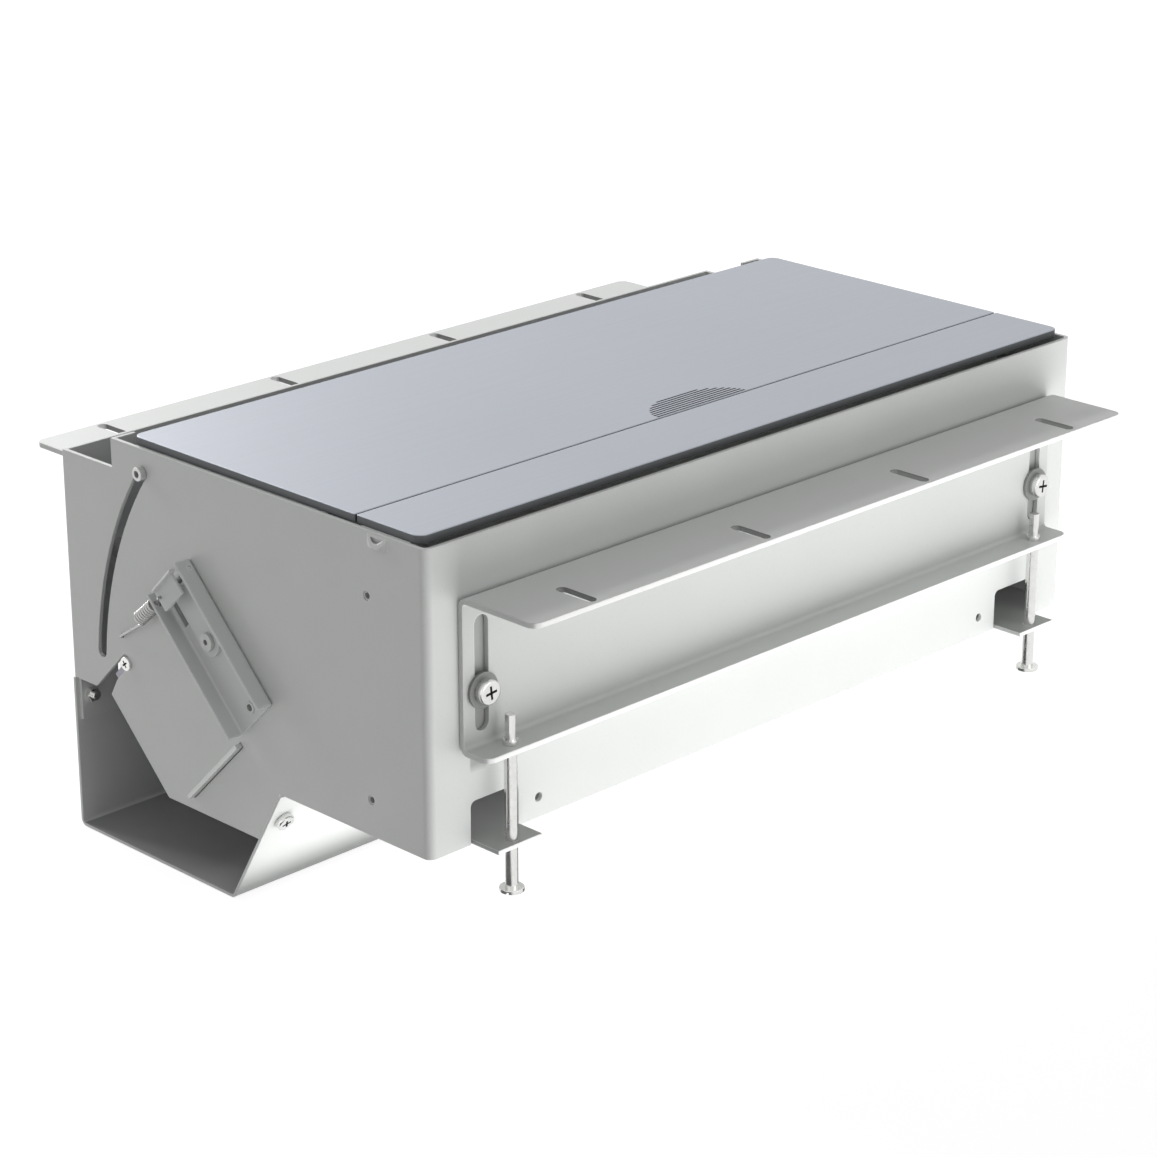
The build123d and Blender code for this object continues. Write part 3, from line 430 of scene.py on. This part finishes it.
def tint_where(material, mask_for, colour):
    """Give a finish a second colour where a mask is 1."""
    tree = material.node_tree
    base = tree.nodes["Principled BSDF"].inputs["Base Color"]
    was = base.links[0].from_socket
    place = tree.nodes.new("ShaderNodeTexCoord")
    tree.links.new(add_mix(tree, mask_for(tree, place), was, colour), base)


# Painted highlights on the rail tops and the sheets' front edges; painted shade on the tray floor,
# in the bolt slots and behind the upright slots
tint_where(lid_anodised, lid_sides, paint(88, 91, 93))
tint_where(pin_zinc, pin_mouths, paint(250, 250, 249))
tint_where(rail_coat_shaded, lit_flange_tops, paint(222, 224, 222))
tint_where(tray_coat, shaded_tray_floor, paint(160, 162, 160))
tint_where(rail_coat_shaded, highlit_sheet_fronts, paint(243, 244, 242))
tint_where(rail_coat_shaded, shaded_bolt_slot_walls, paint(118, 120, 118))
tint_where(base_coat_shaded, highlit_sheet_fronts, paint(240, 241, 239))
tint_where(housing_coat, shaded_slot_backs, paint(168, 170, 168))
tint_where(carrier_anodised, carrier_tabs, paint(214, 216, 214))

finishes = {
    "housing": housing_coat,
    "rear_wall": housing_coat,
    "base_plate": base_coat_shaded,
    "strip_support": housing_coat,
    "cable_tray": tray_coat,
    "front_strip": lid_anodised,
    "lid_panel": lid_anodised,
    "module_carrier": carrier_anodised,
}


def finish_for(name):
    """Finish of a CAD node."""
    if name in finishes:
        return finishes[name]
    if name.endswith("_rail"):
        return rail_coat_shaded
    if name.startswith("swing_arm"):
        return arm_steel
    if name.startswith("guide_pin"):
        return pin_zinc
    if name.startswith(("latch_channel", "latch_lever")):
        return bracket_coat
    if name.startswith("module_blank"):
        return blank_plastic
    if name.startswith("latch_spring"):
        return spring_steel
    if name.endswith("washers"):
        return washer_zinc
    if name.endswith(("rivets", "pivots", "pins")):
        return rivet_zinc
    return screw_zinc


for name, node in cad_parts.items():
    node.data.materials.clear()
    node.data.materials.append(finish_for(name))


# Pieces that stand for plainer solids
crease = math.radians(38)
head_sides = 40
wire_sides = 10


def add_object(name, bm):
    """Object in the scene, from a finished shape."""
    mesh = bpy.data.meshes.new(name)
    bm.to_mesh(mesh)
    bm.free()
    made = bpy.data.objects.new(name, mesh)
    bpy.context.scene.collection.objects.link(made)
    return made


def finish_piece(name, bm, finish, node):
    """Close the shape, and let it stand for a node."""
    bmesh.ops.remove_doubles(bm, verts=bm.verts, dist=0.001 * mm)
    bmesh.ops.recalc_face_normals(bm, faces=bm.faces)
    piece = add_object(name, bm)
    mesh = piece.data
    mesh.polygons.foreach_set("use_smooth", [True] * len(mesh.polygons))
    mesh.set_sharp_from_angle(angle=crease)
    mesh.materials.append(finish)
    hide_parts(node)
    return piece


def extend(bm, edges):
    """Extrude a loop of edges, and give the new loop's points and edges."""
    out = bmesh.ops.extrude_edge_only(bm, edges=edges)["geom"]
    verts = [item for item in out if isinstance(item, bmesh.types.BMVert)]
    fresh = set(verts)
    rim = [item for item in out
           if isinstance(item, bmesh.types.BMEdge) and set(item.verts) <= fresh]
    return verts, rim


def close(bm, edges):
    """Fill a loop of edges, or what lies between two loops."""
    bmesh.ops.triangle_fill(bm, use_beauty=True, use_dissolve=False, edges=edges)


def add_ring(bm, segments, radius):
    """Circle in the XY plane, as its points and edges."""
    verts = bmesh.ops.create_circle(bm, segments=segments, radius=radius)["verts"]
    return verts, list({edge for vert in verts for edge in vert.link_edges})


def facing(direction, place):
    """Frame whose Z axis looks along a direction, at a place."""
    ahead = Vector(direction).normalized()
    side = Vector((0.0, 0.0, 1.0)).cross(ahead).normalized()
    turn = Matrix((side, ahead.cross(side), ahead)).transposed().to_4x4()
    return Matrix.Translation(place) @ turn


def pan_outline(radius, height, shank, length):
    """Outline of a pan head screw, from the flat of its head to the tip of its shank."""
    profile = [(0.80, 1.0), (0.90, 0.97), (0.965, 0.90), (0.995, 0.78),
               (1.0, 0.62), (1.0, 0.12), (0.985, 0.03), (0.95, 0.0)]
    tip = 0.6 * mm
    head = [(radius * across, height * up) for across, up in profile]
    return head + [(shank, 0.0), (shank, tip - length), (shank - tip, -length)]


def add_screw(bm, outline, cross):
    """Turned screw from its flat top down, by radius and height pairs, with a cross recess.

    The cross is the width of its arms, their reach from the middle and its depth.
    """
    width, reach, depth = cross
    recess_taper = 0.72
    ring, ring_edges = add_ring(bm, head_sides, outline[0][0])
    half = width / 2
    corners = [(reach, -half), (reach, half), (half, half), (half, reach),
               (-half, reach), (-half, half), (-reach, half), (-reach, -half),
               (-half, -half), (-half, -reach), (half, -reach), (half, -half)]
    star = [bm.verts.new((x, y, 0.0)) for x, y in corners]
    star_edges = [bm.edges.new((star[i], star[i - 1])) for i in range(len(star))]
    close(bm, ring_edges + star_edges)
    bmesh.ops.translate(bm, vec=(0.0, 0.0, outline[0][1]), verts=ring + star)

    floor, floor_edges = extend(bm, star_edges)
    bmesh.ops.scale(bm, vec=(recess_taper, recess_taper, 1.0), verts=floor)
    bmesh.ops.translate(bm, vec=(0.0, 0.0, -depth), verts=floor)
    close(bm, floor_edges)
    # The recess walls and floor take the second finish, a painted shade
    for face in {face for vert in floor for face in vert.link_faces}:
        face.material_index = 1

    edges = ring_edges
    for (radius, height), (next_radius, next_height) in zip(outline, outline[1:]):
        verts, edges = extend(bm, edges)
        bmesh.ops.scale(bm, vec=(next_radius / radius, next_radius / radius, 1.0), verts=verts)
        bmesh.ops.translate(bm, vec=(0.0, 0.0, next_height - height), verts=verts)
    close(bm, edges)


def make_screws(name, node, sizes, cross, direction, place, turn):
    """Pair of pan head screws, one near each end of the box.

    The sizes are those of pan_outline and the cross is that of add_screw, in millimetres.
    """
    bm = bmesh.new()
    add_screw(bm, pan_outline(*(size * mm for size in sizes)), [size * mm for size in cross])
    seat = facing(direction, place) @ Matrix.Rotation(turn, 4, "Z")
    bmesh.ops.transform(bm, matrix=seat, verts=bm.verts)
    copy = bmesh.ops.duplicate(bm, geom=bm.verts[:] + bm.edges[:] + bm.faces[:])["geom"]
    other = [item for item in copy if isinstance(item, bmesh.types.BMVert)]
    bmesh.ops.scale(bm, vec=(-1.0, 1.0, 1.0), verts=other)
    piece = finish_piece(name, bm, screw_zinc, node)
    piece.data.materials.append(recess_painted_shade)
    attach(piece, "housing")


def make_all_screws():
    """The screws whose heads show, with the crosses turned as they came to rest."""
    lock_sizes = (6.0, 4.6, 3.0, 11.5)
    lock_cross = (1.2, 3.3, 2.4)
    make_screws("front_lock_pan_screws", "front_lock_screws", lock_sizes, lock_cross,
                (0, -1, 0), (-lock_x, front - lock_seat, lock_z), turn=0.12)
    make_screws("rear_lock_pan_screws", "rear_lock_screws", lock_sizes, lock_cross,
                (0, 1, 0), (-lock_x, back + lock_seat, lock_z), turn=0.5)
    make_screws("carrier_pan_screws", "carrier_screws", (3.5, 1.8, 1.5, 9.0), (0.9, 1.9, 1.2),
                (-1, 0, 0), on_left_plate(68.95, -85.2), turn=0.6)

    # The tray's front screws stand square to its leaning flange
    lean = math.radians(60.0)
    height = 47.1 * mm
    flange_foot = front + 139.0 * mm
    place = (9.0 * mm - half_length, flange_foot - height / math.tan(lean), height)
    make_screws("tray_front_pan_screws", "tray_front_screws", (4.7, 3.2, 2.0, 7.0), (1.1, 2.4, 1.9),
                (0, -math.sin(lean), -math.cos(lean)), place, turn=0.3)


def make_spring(end_name):
    """Tension spring of round wire, hooked in the latch lever and the end plate."""
    top = on_left_plate(73.0, -20.7, out=8.8)
    foot = on_left_plate(80.5, -77.5, out=1.4)
    along = (foot - top).normalized()
    across = (along * up_slope.dot(along) - up_slope).normalized()
    turn = Matrix((across, along.cross(across), along)).transposed().to_4x4()

    # Close turns of wire, spun down from their start
    wire, radius, pitch, turns, steps = 0.75 * mm, 3.1 * mm, 2.4 * mm, 8, 28
    start = 12.3 * mm
    end = start + pitch * turns
    bm = bmesh.new()
    ring, first = add_ring(bm, wire_sides, wire)
    upright = Matrix.Rotation(math.radians(90), 3, "X")
    bmesh.ops.rotate(bm, cent=(0, 0, 0), matrix=upright, verts=ring)
    bmesh.ops.translate(bm, vec=(radius, 0, start), verts=ring)
    coil = bmesh.ops.spin(
        bm, geom=ring + first, cent=(0, 0, 0), axis=(0, 0, 1), dvec=(0, 0, pitch / steps),
        angle=math.tau * turns, steps=steps * turns, use_merge=False)
    last = [item for item in coil["geom_last"] if isinstance(item, bmesh.types.BMEdge)]

    def run(edges, moves):
        """Lead the wire on by moves, each a step in millimetres and a turn in degrees."""
        for step, degrees in moves:
            verts, edges = extend(bm, edges)
            middle = sum((vert.co for vert in verts), Vector()) / len(verts)
            tilt = Matrix.Rotation(math.radians(degrees), 3, "X")
            bmesh.ops.rotate(bm, cent=middle, matrix=tilt, verts=verts)
            bmesh.ops.translate(bm, vec=Vector(step) * mm, verts=verts)
        close(bm, edges)

    down_wire = ((foot - top).length - end) / mm - 2.2
    up_wire = start / mm - 5.4
    run(last, [((0, 1.0, 0.4), 40), ((-0.4, 0.5, 1.2), 50), ((-2.6, -1.3, down_wire), 0)])
    run(first, [((-0.2, -1.0, -0.4), 40), ((-1.0, -0.4, -1.4), 50),
                ((-2.0, 1.2, -3.0), 0), ((0, 0.2, -up_wire), 0)])
    bmesh.ops.transform(bm, matrix=Matrix.Translation(top) @ turn, verts=bm.verts)

    # Ends of the wire, bent square through the lever and through the end plate
    lever_end, plate_end = -4.2 * mm, 3.0 * mm
    for place, reach in ((top, lever_end), (foot, plate_end)):
        stub, edges = add_ring(bm, wire_sides, wire)
        close(bm, edges)
        tip, edges = extend(bm, edges)
        bmesh.ops.translate(bm, vec=(0, 0, reach), verts=tip)
        close(bm, edges)
        bmesh.ops.transform(bm, matrix=facing((1, 0, 0), place), verts=stub + tip)

    # Points on the coil and on the wire above it, which are worked out but not used
    still = top + 11.5 * mm * along
    moved = top + 3.0 * mm * along
    if end_name == "right":
        bmesh.ops.scale(bm, vec=(-1.0, 1.0, 1.0), verts=bm.verts)
        still.x, moved.x = -still.x, -moved.x
    piece = finish_piece(
        f"coil_spring_{end_name}", bm, spring_steel, f"latch_spring_{end_name}")
    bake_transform(piece)


make_all_screws()
make_spring("left")
make_spring("right")


# Camera of the photograph, with its axes and place solved from the edges of the box
right = Vector((0.7075, -0.7067, -0.0009))
up = Vector((0.2494, 0.2485, 0.9360))
backwards = Vector((-0.6612, -0.6624, 0.3521))
lens = bpy.data.cameras.new("photo_view")
lens.sensor_fit = "HORIZONTAL"
lens.sensor_width = 36.0
lens.lens = 105.66
camera = bpy.data.objects.new("photo_view", lens)
view = Matrix((right, up, backwards)).transposed().to_4x4()
camera.matrix_world = Matrix.Translation((-1.1403, -1.13755, 0.7111)) @ view
bpy.context.scene.collection.objects.link(camera)
bpy.context.scene.camera = camera


# Light, floor and backdrop

def add_panel(name, place, size, power, aim=(0.0, 0.0, 0.1)):
    """Soft lamp of a given width and height, aimed at the middle of the box or at another point."""
    lamp = bpy.data.lights.new(name, "AREA")
    lamp.shape = "RECTANGLE"
    lamp.size, lamp.size_y = size
    lamp.energy = power
    panel = bpy.data.objects.new(name, lamp)
    place = Vector(place)
    turn = (Vector(aim) - place).to_track_quat("-Z", "Y").to_matrix().to_4x4()
    panel.matrix_world = Matrix.Translation(place) @ turn
    panel.visible_camera = False
    bpy.context.scene.collection.objects.link(panel)
    return panel


def add_flat(name, place, width, depth):
    """Flat sheet of the studio, which isn't part of the box."""
    bm = bmesh.new()
    bmesh.ops.create_grid(bm, x_segments=1, y_segments=1, size=0.5)
    bmesh.ops.scale(bm, vec=(width, depth, 1.0), verts=bm.verts)
    bmesh.ops.translate(bm, vec=place, verts=bm.verts)
    flat = add_object(name, bm)
    return flat


def add_dark_card(name, place, width, depth):
    """Dark card on the floor before the box, seen only in the reflections of bright metal."""
    card = add_flat(name, place, width, depth)
    card.visible_camera = False
    card.visible_diffuse = False
    card.visible_shadow = False
    card.data.materials.append(card_black)


def share_of_sight(tree):
    """1 for rays that see the backdrop, straight or in a reflection."""
    path = tree.nodes.new("ShaderNodeLightPath")
    seen = add_math(tree, "MAXIMUM", path.outputs["Is Camera Ray"], path.outputs["Is Glossy Ray"])
    return add_math(tree, "MAXIMUM", seen, path.outputs["Is Transmission Ray"])


def make_world():
    """Sky that looks white, and lights the box less than it looks."""
    light, look = 0.35, 1.0
    world = bpy.data.worlds.new("white_studio")
    world.use_nodes = True
    tree = world.node_tree
    sky = tree.nodes["Background"]
    sky.inputs["Color"].default_value = (1.0, 1.0, 1.0, 1.0)
    strength = add_range(tree, share_of_sight(tree), 0.0, 1.0, light, look)
    tree.links.new(strength, sky.inputs["Strength"])
    bpy.context.scene.world = world


def make_floor():
    """Wide floor that looks white, and keeps the shadow of the box in its matt share."""
    bounce, matt_look, glow_look = 0.6, 0.3, 0.86
    floor = add_flat("floor", (0.0, 0.0, -0.0005), 18.0, 18.0)
    material = bpy.data.materials.new("floor_white")
    material.use_nodes = True
    tree = material.node_tree
    tree.nodes.clear()
    matt = tree.nodes.new("ShaderNodeBsdfDiffuse")
    glow = tree.nodes.new("ShaderNodeEmission")
    both = tree.nodes.new("ShaderNodeAddShader")
    out = tree.nodes.new("ShaderNodeOutputMaterial")
    seen = share_of_sight(tree)
    tree.links.new(add_range(tree, seen, 0.0, 1.0, bounce, matt_look), matt.inputs["Color"])
    tree.links.new(add_range(tree, seen, 0.0, 1.0, 0.0, glow_look), glow.inputs["Strength"])
    tree.links.new(matt.outputs[0], both.inputs[0])
    tree.links.new(glow.outputs[0], both.inputs[1])
    tree.links.new(both.outputs[0], out.inputs["Surface"])
    floor.data.materials.append(material)


card_black = bpy.data.materials.new("card_black")
card_black.use_nodes = True
card_black.node_tree.nodes["Principled BSDF"].inputs["Base Color"].default_value = paint(60, 60, 60)

ground_panel = add_panel(
    "ground_panel", (0.2, -0.695, 0.004), (0.88, 1.37), power=8.0, aim=(0.2, -0.695, 1.0))
ground_panel.visible_glossy = False
add_panel("front_panel", (0.3, -2.5, 0.7), (1.8, 1.2), power=10.0)
add_panel("rear_panel", (0.2, 2.6, 1.45), (2.2, 1.1), power=82.0)
add_panel("end_panel", (-2.4, 0.2, 0.7), (1.6, 1.2), power=2.0)
add_dark_card("left_card", (-0.48, -0.115, 0.006), 0.53, 0.17)
add_dark_card("right_card", (0.0, -0.0975, 0.006), 0.31, 0.135)
make_world()
make_floor()
bpy.context.scene.view_settings.view_transform = "Standard"
